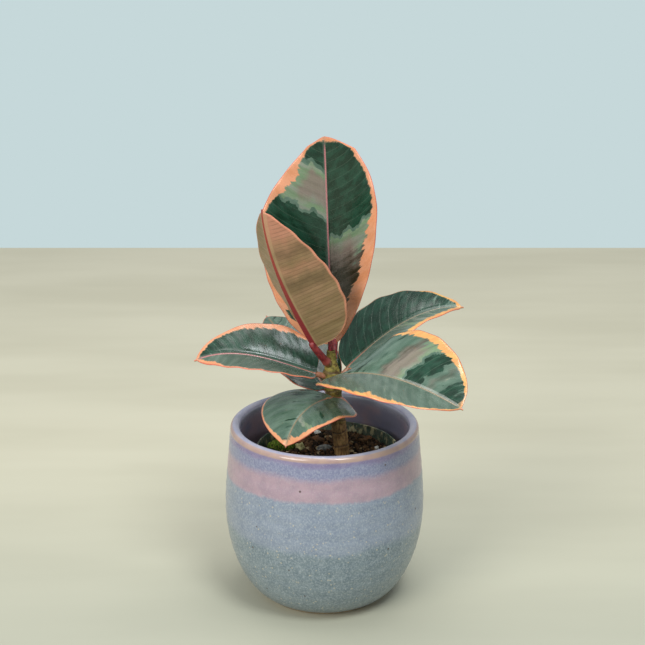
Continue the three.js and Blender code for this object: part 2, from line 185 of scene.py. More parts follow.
def blade_colours(s, palette):
    """The variegation shared by both faces: sectors along the side veins, margin and rim."""
    q, x, seed = s.split(s.attribute("leaf_space"))
    edge, cream, tone = s.split(s.attribute("leaf_edge"))
    olive, warmth, u = s.split(s.attribute("leaf_tint"))
    across = s.math("ABSOLUTE", x)
    streaks = s.join(q, s.times(x, 0.2), s.times(seed, STREAK_SHIFT))
    patches = s.join(q, s.times(x, 0.6), s.times(seed, PATCH_SHIFT))
    jag = s.centred(s.noise(streaks, 0.42, 3.0, 0.6), 3.4)
    fine = s.centred(s.noise(streaks, 1.9, 3.0, 0.6), 2.6)
    broad = s.centred(s.noise(patches, 0.12, 3.0, 0.55), 2.4)

    level = s.plus(tone, s.plus(s.times(jag, 0.22), s.times(broad, 0.1)))
    level = s.plus(level, s.times(fine, 0.05))
    dark = s.mix(s.clouds(patches, 0.3, 3.0), palette["dark"], palette["dark_light"])
    middle = s.mix(s.clouds(patches, 0.22, 3.0), palette["middle"], palette["middle_light"])
    pale = s.mix(s.ease(s.noise(streaks, 0.3, 4.0, 0.6), 0.4, 0.6), palette["pale"], palette["pale_green"])
    s.color = s.mix(s.ease(level, *MIDDLE_FROM), dark, middle)
    s.paint(s.ease(level, *PALE_FROM), pale)
    reach = s.plus(s.times(jag, s.plus(s.times(cream, 0.4), 0.25)), s.times(fine, 0.4))
    inside = s.minus(s.plus(cream, reach), edge)
    greener = s.times(s.ease(level, 0.6, 0.8), s.ease(inside, -9.0, -2.0))
    flushed = s.times(olive, s.minus(1.0, greener))
    brown = s.mix(s.ease(level, 0.45, 0.85), palette["brown"], palette["olive"])
    s.paint(s.times(flushed, s.ease(level, 0.2, 0.3)), brown)

    # Side veins, a little lighter than the blade between them.
    turn = s.math("FRACT", s.math("DIVIDE", q, VEIN_SPACING))
    from_vein = s.math("ABSOLUTE", s.minus(turn, 0.5))
    vein = s.ease(from_vein, 0.46, 0.5)
    s.paint(vein, palette["vein"], palette["vein_share"])
    shade = s.times(s.ease(from_vein, 0.3, 0.05), s.ease(across, 1.0, 4.0))
    s.paint(shade, palette["dark"], 0.12)

    margin = s.mix(warmth, palette["margin_pink"], palette["margin_warm"])
    margin = s.mix(s.clouds(patches, 0.16, 2.0, most=0.55), margin, palette["margin_deep"])
    halo = s.mix(0.5, pale, margin)
    s.paint(s.ease(inside, -0.7, -0.2), s.mix(0.45, s.color, halo))
    s.paint(s.ease(inside, -0.12, 0.12), margin)
    rim = s.ease(s.minus(edge, s.times(fine, 0.12)), 0.75, 0.25)
    s.paint(rim, palette["rim"], 0.75)
    return {"q": q, "x": x, "u": u, "across": across, "fine": fine, "vein": vein, "patches": patches,
            "warmth": warmth}


def fine_veins(s, q, across):
    """Ridges of the many close side veins."""
    phase = s.times(q, TAU / FINE_VEIN_SPACING)
    return s.times(s.math("SINE", phase), s.ease(across, 0.8, 3.0))


def leaf_top():
    s = Surface("leaf_top", Specular_IOR_Level=0.36, Coat_Weight=0.4, Coat_Roughness=0.16)
    palette = {
        "dark": (20, 50, 34), "dark_light": (34, 72, 54), "middle": (82, 108, 92),
        "middle_light": (102, 126, 110), "pale": (140, 148, 132), "pale_green": (120, 146, 112),
        "brown": (56, 46, 28), "olive": (138, 122, 112), "vein": (142, 164, 140), "vein_share": 0.16,
        "margin_pink": (230, 158, 128), "margin_warm": (238, 184, 104), "margin_deep": (218, 138, 88),
        "rim": (222, 108, 92),
    }
    b = blade_colours(s, palette)
    rib = s.ease(b["across"], 0.65, 0.25)
    # Painted highlight: a faint pale band on each side of the midrib.
    s.paint(s.ease(b["across"], 1.5, 0.7), (150, 165, 150), 0.16)
    rib_color = s.mix(s.ease(b["warmth"], 0.16, 0.3), (206, 134, 138), (152, 134, 108))
    rib_color = s.mix(s.ease(b["u"], 0.05, 0.3), (190, 112, 92), rib_color)
    rib = s.times(rib, s.ease(b["u"], 0.98, 0.93, 0.0, 0.85))
    s.paint(rib, rib_color)
    specks = s.ease(s.cells(s.join(b["q"], b["x"], 0.0), 0.11), 0.05, 0.03)
    s.paint(specks, (120, 86, 56), 0.55)
    roughness = s.rough(s.noise(b["patches"], 0.5, 3.0), 0.2, 0.36)
    height = s.plus(s.times(fine_veins(s, b["q"], b["across"]), 0.12),
                    s.plus(s.times(b["fine"], 0.5), b["vein"]))
    return s.finish(roughness, s.bump(height, 0.35, 0.00012))


def leaf_under():
    s = Surface("leaf_under", Specular_IOR_Level=0.45)
    palette = {
        "dark": (98, 118, 82), "dark_light": (112, 132, 94), "middle": (128, 146, 108),
        "middle_light": (144, 160, 122), "pale": (170, 172, 140), "pale_green": (164, 178, 140),
        "brown": (126, 116, 84), "olive": (160, 150, 118), "vein": (176, 184, 146), "vein_share": 0.35,
        "margin_pink": (226, 170, 134), "margin_warm": (232, 190, 138), "margin_deep": (216, 158, 116),
        "rim": (214, 120, 100),
    }
    b = blade_colours(s, palette)
    rib = s.ease(b["across"], 1.6, 0.8)
    rib_color = s.mix(s.ease(b["u"], 0.0, 0.7), (178, 96, 78), (176, 170, 122))
    s.paint(rib, rib_color, 0.85)
    roughness = s.rough(s.noise(b["patches"], 0.6, 3.0), 0.42, 0.6)
    height = s.plus(s.times(fine_veins(s, b["q"], b["across"]), 0.5),
                    s.plus(b["fine"], s.times(b["vein"], 1.5)))
    return s.finish(roughness, s.bump(height, 0.4, 0.00015))


def leaf_under_young():
    """The underside of the youngest leaf, still flushed red-brown."""
    s = Surface("leaf_under_young", Specular_IOR_Level=0.45, Coat_Weight=0.1, Coat_Roughness=0.3)
    q, x, seed = s.split(s.attribute("leaf_space"))
    edge, _, tone = s.split(s.attribute("leaf_edge"))
    olive, _, u = s.split(s.attribute("leaf_tint"))
    across = s.math("ABSOLUTE", x)
    streaks = s.join(q, s.times(x, 0.12), seed)
    patches = s.join(q, s.times(x, 0.6), s.plus(seed, 9.0))
    s.color = s.mix(s.clouds(patches, 0.14, 3.0), (134, 114, 76), (152, 124, 90))
    s.paint(s.ease(s.noise(streaks, 0.5, 3.0, 0.6), 0.3, 0.7, 0.0, 0.35), (112, 88, 56))
    s.paint(tone, (194, 130, 106), 0.85)
    # Painted shade: dark bands across the young blade where it buckles gently.
    s.paint(olive, (84, 66, 40), 0.6)
    phase = s.plus(s.times(q, TAU / YOUNG_VEIN_SPACING), s.centred(s.noise(streaks, 0.5, 2.0), 4.0))
    lines = s.times(s.ease(s.math("SINE", phase), 0.55, 1.0), s.ease(across, 1.5, 5.0))
    s.paint(lines, (92, 74, 46), 0.34)
    s.paint(s.ease(edge, 1.5, 0.4), (216, 142, 112), 0.8)
    # Painted highlight: a pale band along each side of the midrib, where the blade folds.
    s.paint(s.ease(across, 2.7, 1.9), (190, 168, 122), 0.28)
    width = s.ease(u, 0.0, 1.0, 2.1, 0.7)
    rib = s.ease(s.math("DIVIDE", across, width), 1.0, 0.7)
    s.paint(rib, s.mix(s.ease(u, 0.1, 0.9), (128, 32, 36), (156, 66, 52)))
    fine = s.noise(streaks, 2.2, 3.0)
    height = s.plus(s.times(lines, -1.0), fine)
    return s.finish(s.rough(fine, 0.4, 0.52), s.bump(height, 0.35, 0.00012))


def petiole_surface():
    s = Surface("petiole", Specular_IOR_Level=0.5, Coat_Weight=0.2, Coat_Roughness=0.25)
    _, warmth, u = s.split(s.attribute("leaf_tint"))
    place = s.millimetres()
    mottle = s.noise(s.stretch(place, 1.0, 1.0, 0.5), 0.7, 3.0)
    red = s.mix(s.ease(mottle, 0.35, 0.65), (112, 28, 36), (150, 52, 52))
    green = s.mix(s.ease(mottle, 0.35, 0.65), (150, 112, 72), (186, 132, 104))
    s.color = s.mix(warmth, red, green)
    s.paint(s.ease(u, 0.5, 0.3, 0.0, 0.6), (168, 92, 78))
    s.paint(s.ease(u, 0.34, 0.14), (112, 92, 44))
    bumps = s.noise(place, 1.6, 3.0)
    return s.finish(s.rough(mottle, 0.32, 0.48), s.bump(bumps, 0.2, 0.0002))


def stem_surface():
    s = Surface("stem_bark", Specular_IOR_Level=0.4)
    place = s.millimetres()
    height = s.split(place)[2]
    long = s.stretch(place, 1.0, 1.0, 0.28)
    ringed = s.stretch(place, 0.35, 0.35, 1.0)
    rough = s.noise(long, 0.9, 5.0, 0.6)
    wood = s.mix(s.ease(rough, 0.35, 0.62), (132, 94, 54), (204, 164, 108))
    wood = s.mix(s.ease(s.noise(place, 0.5, 4.0), 0.5, 0.68, 0.0, 0.7), wood, (168, 142, 92))
    young = s.mix(s.clouds(place, 0.35, 3.0), (104, 98, 40), (146, 132, 62))
    young = s.mix(s.ease(s.noise(ringed, 0.75, 4.0, 0.6), 0.5, 0.62, 0.0, 0.85), young, (84, 60, 30))
    wavy = s.plus(height, s.centred(s.noise(place, 0.35, 3.0), 12.0))
    s.color = s.mix(s.ease(wavy, 98.0, 106.0), wood, young)
    scar = s.attribute("scar")
    s.paint(s.split(scar)[0], (66, 46, 26))
    spots = s.ease(s.cells(s.stretch(place, 1.0, 1.0, 0.7), 0.7), 0.22, 0.12)
    s.paint(spots, (178, 156, 112), 0.5)
    bumps = s.plus(rough, s.times(s.noise(ringed, 1.6, 3.0), 0.5))
    return s.finish(s.rough(rough, 0.55, 0.8), s.bump(bumps, 0.6, 0.0004))


def bud_surface():
    s = Surface("bud_sheath", Specular_IOR_Level=0.5, Coat_Weight=0.25, Coat_Roughness=0.25)
    place = s.millimetres()
    streak = s.noise(s.stretch(place, 1.0, 1.0, 0.2), 1.1, 4.0)
    s.color = s.mix(s.ease(streak, 0.38, 0.62), (104, 20, 34), (158, 46, 54))
    s.paint(s.ease(s.split(place)[2], 149.0, 153.0, 0.0, 0.6), (196, 104, 90))
    return s.finish(s.rough(streak, 0.3, 0.45), s.bump(streak, 0.35, 0.0003))


# Heights between which one band of glaze passes into the next, before their edges wander.
BODY_BAND = (44.0, 49.0)
PINK_BAND = (73.0, 75.6)
VIOLET_BAND = (84.5, 89.5)
LIP_BAND = (92.5, 95.5)


def glaze_bands(s, level, cloud, mottle, curdle):
    low = s.mix(cloud, (104, 122, 132), (120, 136, 143))
    low = s.mix(s.ease(level, 4.0, 26.0, 0.35, 0.0), low, (106, 118, 116))
    middle = s.mix(cloud, (126, 138, 158), (139, 150, 168))
    body = s.mix(s.ease(level, *BODY_BAND), low, middle)
    body = s.mix(s.times(mottle, 0.35), body, (158, 170, 180))
    body = s.mix(s.times(curdle, 0.5), body, (176, 186, 192))
    pink = s.mix(cloud, (166, 144, 158), (180, 154, 166))
    pink = s.mix(s.times(curdle, 0.3), pink, (184, 170, 174))
    s.color = s.mix(s.ease(level, *PINK_BAND), body, pink)
    violet = s.mix(mottle, (126, 130, 160), (144, 148, 174))
    violet = s.mix(s.times(curdle, 0.45), violet, (168, 174, 190))
    s.paint(s.ease(level, *VIOLET_BAND), violet)
    s.paint(s.ease(level, *LIP_BAND), s.mix(cloud, (126, 118, 154), (142, 132, 164)))


def glaze_specks(s, place, level):
    """Cream specks of different sizes below the pink band, and a few iron ones."""
    dots = s.ease(s.cells(place, 0.42), 0.24, 0.14)
    chosen = s.ease(s.noise(place, 0.23, 2.0), 0.5, 0.56)
    below = s.ease(level, 74.0, 70.0)
    s.paint(s.times(s.times(dots, chosen), s.times(below, 0.75)), (204, 194, 168))
    small = s.ease(s.cells(place, 1.15), 0.2, 0.1)
    s.paint(small, (200, 202, 194), 0.5)
    iron = s.ease(s.cells(place, 0.085), 0.062, 0.04)
    s.paint(iron, (74, 58, 50), 0.85)


def glaze_lip(s, place, ragged, cloud):
    """The grey violet inside, lighter near the lip, and the lip itself, which breaks to tan outside."""
    x, y, z = s.split(place)
    radius = s.math("SQRT", s.plus(s.times(x, x), s.times(y, y)))
    inner = s.split(s.attribute("wall"))[0]
    deep = s.mix(s.ease(s.noise(place, 0.05, 3.0), 0.38, 0.62), (152, 150, 174), (186, 162, 174))
    deep = s.mix(s.ease(z, 92.0, 98.0), deep, (184, 186, 204))
    s.paint(inner, deep)
    crest = s.ease(z, 97.9, 99.0)
    s.paint(crest, s.mix(cloud, (162, 164, 186), (178, 176, 192)))
    out_line = s.minus(radius, s.times(s.minus(z, 97.0), -0.2))
    level_line = s.plus(z, s.times(ragged, 0.15))
    tan = s.times(s.ease(out_line, 50.2, 50.9), s.ease(level_line, 96.1, 97.2))
    s.paint(tan, s.mix(cloud, (178, 148, 136), (190, 160, 138)), 0.85)


def glaze():
    s = Surface("stoneware_glaze", Specular_IOR_Level=0.5, Coat_Weight=0.35, Coat_Roughness=0.08)
    place = s.millimetres()
    z = s.split(place)[2]
    drift = s.centred(s.noise(place, 0.035, 3.0, 0.5), 7.0)
    ragged = s.centred(s.noise(place, 0.5, 3.0, 0.6), 2.6)
    level = s.plus(z, s.plus(drift, ragged))
    cloud = s.clouds(place, 0.14, 4.0, 0.6)
    mottle = s.ease(s.noise(place, 0.85, 4.0, 0.65), 0.42, 0.6)
    curdle = s.ease(s.noise(s.stretch(place, 1.0, 1.0, 0.75), 1.15, 4.0, 0.62, 0.5), 0.5, 0.62)
    glaze_bands(s, level, cloud, mottle, curdle)
    glaze_specks(s, place, level)
    glaze_lip(s, place, ragged, cloud)
    foot = s.ease(s.plus(z, s.times(ragged, 0.25)), 3.2, 1.8)
    s.paint(foot, s.mix(mottle, (150, 132, 106), (172, 152, 122)))
    roughness = s.rough(s.noise(place, 0.6, 3.0), 0.3, 0.48)
    roughness = s.times(roughness, s.ease(z, 93.0, 97.0, 1.0, 0.35))
    roughness = s.mix(foot, s.join(roughness, roughness, roughness), (205, 205, 205))
    bumps = s.plus(s.noise(place, 0.35, 3.0), s.times(curdle, 0.12))
    return s.finish(s.split(roughness)[0], s.bump(bumps, 0.22, 0.0005))


def nursery_plastic():
    s = Surface("nursery_plastic", Specular_IOR_Level=0.45)
    place = s.millimetres()
    z = s.split(place)[2]
    cloud = s.noise(place, 0.16, 4.0, 0.6)
    s.color = s.mix(s.ease(cloud, 0.4, 0.6), (72, 92, 80), (100, 112, 96))
    lime = s.ease(s.noise(s.stretch(place, 1.0, 1.0, 0.5), 0.22, 5.0, 0.65), 0.5, 0.58)
    lime = s.times(lime, s.ease(z, 74.0, 82.0))
    s.paint(lime, (206, 196, 152), 0.85)
    dirt = s.ease(s.noise(place, 0.4, 4.0, 0.6), 0.55, 0.66)
    s.paint(dirt, (70, 58, 42), 0.7)
    rough = s.noise(place, 1.2, 4.0)
    return s.finish(s.rough(rough, 0.45, 0.7), s.bump(rough, 0.35, 0.0004))


def grain_surface(name, colours, scale, roughness, strength):
    """A rough natural surface whose tone varies from grain to grain and within each, with painted shade
    where its bump is low.
    """
    s = Surface(name, Specular_IOR_Level=0.3)
    place = s.millimetres()
    share, hue, _ = s.split(s.attribute("grain"))
    detail = s.noise(place, scale, 5.0, 0.65)
    s.color = s.mix(s.ease(s.plus(share, s.centred(detail, 0.7)), 0.2, 0.8), colours[0], colours[1])
    s.paint(s.ease(hue, 0.72, 0.8), colours[2])
    s.paint(s.ease(hue, 0.93, 0.96), colours[3])
    # Painted shade in the hollows of the bump.
    s.paint(s.ease(detail, 0.5, 0.34, 0.0, 0.6), colours[4])
    return s.finish(s.rough(detail, *roughness), s.bump(detail, strength, 0.0005))


def bark_surface():
    s = Surface("bark_chip", Specular_IOR_Level=0.3)
    place = s.millimetres()
    along_grain = s.attribute("grain")
    fibre = s.noise(s.stretch(along_grain, 0.35, 2.2, 2.2), 0.8, 4.0, 0.6)
    s.color = s.mix(s.ease(fibre, 0.38, 0.62), (66, 42, 24), (132, 92, 58))
    s.paint(s.ease(s.noise(place, 0.5, 3.0), 0.52, 0.66, 0.0, 0.6), (160, 122, 84))
    return s.finish(s.rough(fibre, 0.65, 0.9), s.bump(fibre, 0.7, 0.0005))


def floor_surface():
    s = Surface("floor", Specular_IOR_Level=0.25)
    place = s.millimetres()
    soft = s.noise(s.stretch(place, 0.25, 1.0, 1.0), 0.012, 3.0)
    s.color = s.mix(s.ease(soft, 0.3, 0.7), FLOOR, (204, 200, 176))
    # Painted shade: the floor darkens towards the front, near the camera.
    near = s.ease(s.split(place)[1], 250.0, -150.0)
    s.paint(near, s.mix(s.ease(soft, 0.3, 0.7), (186, 187, 168), (180, 181, 163)))
    return s.finish(s.rough(soft, 0.6, 0.7), s.bump(soft, 0.02, 0.001))


# ---- Mesh helpers ----

def make_piece(name, points, faces, materials, replaces=(), face_materials=None, attributes=None):
    """A smooth mesh from points in millimetres, riding on the frame's body."""
    mesh = bpy.data.meshes.new(name)
    mesh.from_pydata((np.asarray(points, float) * MM).tolist(), [], faces)
    for material in materials:
        mesh.materials.append(material)
    if face_materials is not None:
        mesh.polygons.foreach_set("material_index", np.asarray(face_materials, np.int32))
    for key, values in (attributes or {}).items():
        layer = mesh.attributes.new(key, "FLOAT_VECTOR", "POINT")
        layer.data.foreach_set("vector", np.asarray(values, np.float32).ravel())
    mesh.polygons.foreach_set("use_smooth", np.ones(len(mesh.polygons), bool))
    mesh.update()
    piece = bpy.data.objects.new(name, mesh)
    bpy.context.scene.collection.objects.link(piece)
    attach(piece, "root")
    if replaces:
        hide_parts(*replaces)


def ring_faces(loops, size, start=0, closed_ends=True):
    """Quads between loops of points, with a flat face at each end."""
    faces = []
    for i in range(loops - 1):
        low = start + i * size
        for j in range(size):
            k = (j + 1) % size
            faces.append((low + j, low + k, low + size + k, low + size + j))
    if closed_ends:
        faces.append(tuple(start + j for j in reversed(range(size))))
        faces.append(tuple(start + (loops - 1) * size + j for j in range(size)))
    return faces


def fractal(points, scale, octaves=3, offset=0.0):
    """A rough value from about -1 to 1 at each point."""
    move = Vector((offset, -offset * 0.7, offset * 1.3))
    return np.array([noise.fractal(Vector(p) * scale + move, 0.8, 2.0, octaves) for p in points])


def bezier(control, t):
    control = np.asarray(control, float)
    t = np.asarray(t, float)[:, None]
    if len(control) == 3:
        return (1 - t) ** 2 * control[0] + 2 * t * (1 - t) * control[1] + t ** 2 * control[2]
    return ((1 - t) ** 3 * control[0] + 3 * t * (1 - t) ** 2 * control[1]
            + 3 * t ** 2 * (1 - t) * control[2] + t ** 3 * control[3])


def columns(*values):
    """Vectors, one to a point, from arrays and single values."""
    return np.column_stack(np.broadcast_arrays(*values)).astype(float)


def round_angles(sides):
    return np.arange(sides) / sides * TAU


def hump(value, centre, width):
    return np.exp(-((value - centre) / width) ** 2)


def unit(vectors):
    return vectors / np.linalg.norm(vectors, axis=-1, keepdims=True)


def step_between(value, low, high):
    t = np.clip((value - low) / (high - low), 0, 1)
    return t * t * (3 - 2 * t)


TUBE_REFERENCE = (0.2, 1.0, 0.1)  # no tube runs along it


def sweep(path, radii, sides):
    """Loops of points round a path, and the outward direction of each point."""
    tangent = unit(np.gradient(path, axis=0))
    side = unit(np.cross(tangent, TUBE_REFERENCE))
    up = np.cross(tangent, side)
    angle = round_angles(sides)
    out = side[:, None] * np.cos(angle)[None, :, None] + up[:, None] * np.sin(angle)[None, :, None]
    points = path[:, None] + out * np.asarray(radii).reshape(len(path), -1, 1)
    return points.reshape(-1, 3), out.reshape(-1, 3)


# ---- Planter ----

FLOOR_TOP = 6.5
BELLY_HEIGHT = 52
LIP_CENTRE = (48.6, 96.8)
LIP_RADIUS = 2.8
PLANTER_SIDES = 192


def planter_profile():
    """Radius and height, from under the foot over the lip to the floor inside."""
    def part(control, count):
        return bezier(columns(*np.transpose(control), 0), np.linspace(0, 1, count))[:, :2]

    lip = np.linspace(0, math.pi, 17)
    runs = [
        columns(np.linspace(0, 32.4, 14), 0),
        part([(32.4, 0), (33.1, 0.2), (33.4, 1.2)], 5),
        part([(33.4, 1.2), (44, 6), (54.2, 26), (54.6, BELLY_HEIGHT)], 44),
        part([(54.6, BELLY_HEIGHT), (54.8, 66), (52.4, 84), (51.4, LIP_CENTRE[1])], 38),
        columns(LIP_CENTRE[0] + LIP_RADIUS * np.cos(lip), LIP_CENTRE[1] + LIP_RADIUS * np.sin(lip)),
        part([(45.8, LIP_CENTRE[1]), (46.2, 84), (49, 66), (49, BELLY_HEIGHT)], 30),
        part([(49, BELLY_HEIGHT), (49, 26), (43, FLOOR_TOP), (34, FLOOR_TOP)], 30),
        columns(np.linspace(34, 0, 12), FLOOR_TOP),
    ]
    return np.vstack([runs[0]] + [run[1:] for run in runs[1:]])[1:-1]


def planter_piece():
    profile = planter_profile()
    sides = PLANTER_SIDES
    angle = round_angles(sides)
    r, z = profile[:, :1], profile[:, 1:]
    # Faint throwing rings and a slightly uneven wall, fading out at the foot and the lip.
    fade = step_between(z, 2, 12) * (1 - step_between(z, 84, 94)) * (r > 45)
    wobble = (-0.10 + 0.07 * np.sin(z * 0.9) + 0.09 * np.sin(2 * angle + z * 0.04)
              + 0.05 * np.sin(3 * angle - z * 0.06)) * fade
    radius = r + wobble
    around = np.broadcast_arrays(radius * np.cos(angle), radius * np.sin(angle), z)
    points = np.stack(around, -1).reshape(-1, 3)
    faces = ring_faces(len(profile), sides, closed_ends=False)
    # Fans close the underside and the floor round a point at each middle.
    under, floor = len(points), len(points) + 1
    points = np.vstack([points, [(0, 0, 0), (0, 0, FLOOR_TOP)]])
    last = (len(profile) - 1) * sides
    for j in range(sides):
        k = (j + 1) % sides
        faces += [(under, k, j), (floor, last + j, last + k)]
    past_lip = int(np.argmax(profile[:, 1])) + 5
    inside = np.repeat(np.arange(len(profile)) > past_lip, sides)
    make_piece("planter_glazed", points, faces, [glaze()], ["planter"],
               attributes={"wall": columns(np.append(inside, [0, 1]), 0, 0)})


# ---- Nursery pot ----

EDGE_ROUNDING = 0.3


def nursery_pot():
    """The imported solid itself, with its edges rounded."""
    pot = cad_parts["nursery_pot"]
    pot.data.materials.clear()
    pot.data.materials.append(nursery_plastic())
    rounding = pot.modifiers.new("edges", "BEVEL")
    rounding.width = EDGE_ROUNDING * MM
    rounding.segments = 3
    rounding.limit_method = "ANGLE"
    rounding.angle_limit = math.radians(35)


# ---- Soil and what lies on it ----

POT_CENTRE = (1.5, 1.5)
SOIL_REACH = 36.6
STEM_FOOT = (9.7, -2.2)


def around_pot(reach, angle):
    return POT_CENTRE[0] + reach * np.cos(angle), POT_CENTRE[1] + reach * np.sin(angle)


def soil_height(x, y):
    reach = np.hypot(x - POT_CENTRE[0], y - POT_CENTRE[1]) / SOIL_REACH
    mounds = np.sin(x / 5.1 + 0.8) * np.cos(y / 6.3) + 0.5 * np.sin(x / 2.9 - y / 3.4)
    return 81 + 0.9 * mounds * (1 - reach ** 4) - 1.5 * reach ** 3


def soil_piece():
    rings, sides, edge = 84, 240, 34.6
    radius = edge * np.linspace(1, 1 / rings, rings)
    angle = round_angles(sides)
    x, y = (place.ravel() for place in around_pot(radius[:, None], angle))
    plan = columns(x, y, 0)
    lumps = fractal(plan, 0.22, 4, 3.0) * 1.1 + np.abs(fractal(plan, 0.7, 3, 9.0)) * 0.9
    stem_gap = step_between(np.hypot(x - STEM_FOOT[0], y + 2.0), 3.0, 6.0)
    z = soil_height(x, y) + (lumps - 0.35) * stem_gap
    wall = [(26.2, 8.8), (34.9, 60.0), (35.0, 74.0)]
    skirt = [columns(*around_pot(r, angle), height) for r, height in wall]
    points = np.vstack(skirt + [columns(x, y, z)])
    faces = ring_faces(rings + len(wall), sides)
    share = columns(0.3 + 0.4 * fractal(points, 0.5, 3), 0.4, 0)
    make_piece("potting_mix_bed", points, faces, [SOIL_SURFACE], ["potting_mix"],
               attributes={"grain": share})


def numbered(prefix, first):
    """Nodes whose names start with the prefix, each with its own seed."""
    return enumerate(sorted(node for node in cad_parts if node.startswith(prefix)), first)


def round_lump(level):
    work = bmesh.new()
    bmesh.ops.create_icosphere(work, subdivisions=level, radius=1)
    points = np.array([v.co[:] for v in work.verts])
    faces = [tuple(v.index for v in f.verts) for f in work.faces]
    work.free()
    return points, faces


def random_turns(rng, count):
    w, x, y, z = unit(rng.normal(size=(count, 4))).T
    return np.stack([
        np.stack([1 - 2 * (y * y + z * z), 2 * (x * y - z * w), 2 * (x * z + y * w)], -1),
        np.stack([2 * (x * y + z * w), 1 - 2 * (x * x + z * z), 2 * (y * z - x * w)], -1),
        np.stack([2 * (x * z - y * w), 2 * (y * z + x * w), 1 - 2 * (x * x + y * y)], -1)], 1)


def scattered(rng, places, sizes, shape, turns, level, rough):
    """Many uneven lumps as one set of points and faces, with a random tone and hue for each."""
    base, base_faces = round_lump(level)
    count = len(places)
    factor = 1 + rough * rng.uniform(-1, 1, (count, len(base), 1))
    local = base[None] * factor * shape[:, None] * sizes[:, None, None]
    points = np.einsum("nij,nkj->nki", turns, local) + places[:, None]
    faces = [tuple(i + n * len(base) for i in f) for n in range(count) for f in base_faces]
    tone = np.repeat(columns(rng.uniform(0, 1, count), rng.uniform(0, 1, count), 0), len(base), 0)
    return points.reshape(-1, 3), faces, tone


def crumbs():
    rng = np.random.default_rng(11)
    count = 1500
    reach = 33.4 * np.sqrt(rng.uniform(0, 1, count))
    angle = rng.uniform(0, TAU, count)
    x, y = around_pot(reach, angle)
    clear = np.hypot(x - STEM_FOOT[0], y - STEM_FOOT[1]) > 5.4
    x, y = x[clear], y[clear]
    size = 0.35 + 1.15 * rng.uniform(0, 1, len(x)) ** 2.2
    places = np.column_stack([x, y, soil_height(x, y) + size * 0.25 + 0.3])
    shape = rng.uniform(0.55, 1.25, (len(x), 3))
    points, faces, tone = scattered(rng, places, size, shape, random_turns(rng, len(x)), 2, 0.22)
    make_piece("potting_mix_crumbs", points, faces, [SOIL_SURFACE],
               attributes={"grain": tone})


def fibres():
    """Thin bits of root and fibre lying on the mix."""
    rng = np.random.default_rng(23)
    points, faces, tones = [], [], []
    steps, sides = 9, 6
    for _ in range(46):
        reach, angle = 31 * math.sqrt(rng.uniform()), rng.uniform(0, TAU)
        centre = np.array(around_pot(reach, angle))
        if np.hypot(*(centre - STEM_FOOT)) < 8:
            continue
        heading, bend, length = rng.uniform(0, TAU), rng.uniform(-1.6, 1.6), rng.uniform(3, 8)
        t = np.linspace(-0.5, 0.5, steps)
        way = heading + bend * t
        xy = centre + np.column_stack([np.cos(way), np.sin(way)]) * (t * length)[:, None]
        z = soil_height(xy[:, 0], xy[:, 1]) + 0.9 + 0.8 * np.cos(t * math.pi) * rng.uniform(0.2, 1)
        path = np.column_stack([xy, z])
        loops, _ = sweep(path, 0.16 * (1 - 3 * t ** 2), sides)
        faces += ring_faces(steps, sides, start=len(points) * steps * sides)
        points.append(loops)
        tones.append(np.tile((rng.uniform(0.5, 1), rng.uniform(0, 0.9), 0), (steps * sides, 1)))
    make_piece("potting_mix_fibres", np.vstack(points), faces, [SOIL_SURFACE],
               attributes={"grain": np.vstack(tones)})


REFINEMENTS = 2


def refined(node, amplitude, scale, seed, surface, suffix, grained=False):
    """A CAD lump, closely subdivided and roughened inwards and outwards a little."""
    work = bmesh.new()
    work.from_mesh(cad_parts[node].data)
    bmesh.ops.remove_doubles(work, verts=work.verts[:], dist=1e-6)
    for _ in range(REFINEMENTS):
        bmesh.ops.subdivide_edges(work, edges=work.edges[:], cuts=1, use_grid_fill=True, smooth=0.6)
    bmesh.ops.triangulate(work, faces=work.faces[:])
    work.normal_update()
    points = np.array([v.co[:] for v in work.verts]) / MM
    normals = np.array([v.normal[:] for v in work.verts])
    faces = [tuple(v.index for v in f.verts) for f in work.faces]
    work.free()
    flat = points[:, :2] - points[:, :2].mean(0)
    _, axes = np.linalg.eigh(flat.T @ flat)
    long_axis, short_axis = axes[:, 1], axes[:, 0]
    local = np.column_stack([flat @ long_axis, flat @ short_axis, points[:, 2] - points[:, 2].mean()])
    if grained:
        rough = (fractal(local * (0.25, 1.6, 1.6), scale, 4, seed) * 0.7
                 + fractal(local, scale * 0.4, 2, seed) * 0.5)
    else:
        rough = fractal(points, scale, 4, seed)
    points = points + normals * (rough[:, None] - 0.15) * amplitude
    tone = local if grained else columns(0.5 + 0.5 * rough, 0.3, 0)
    make_piece(node + suffix, points, faces, [surface], [node], attributes={"grain": tone})


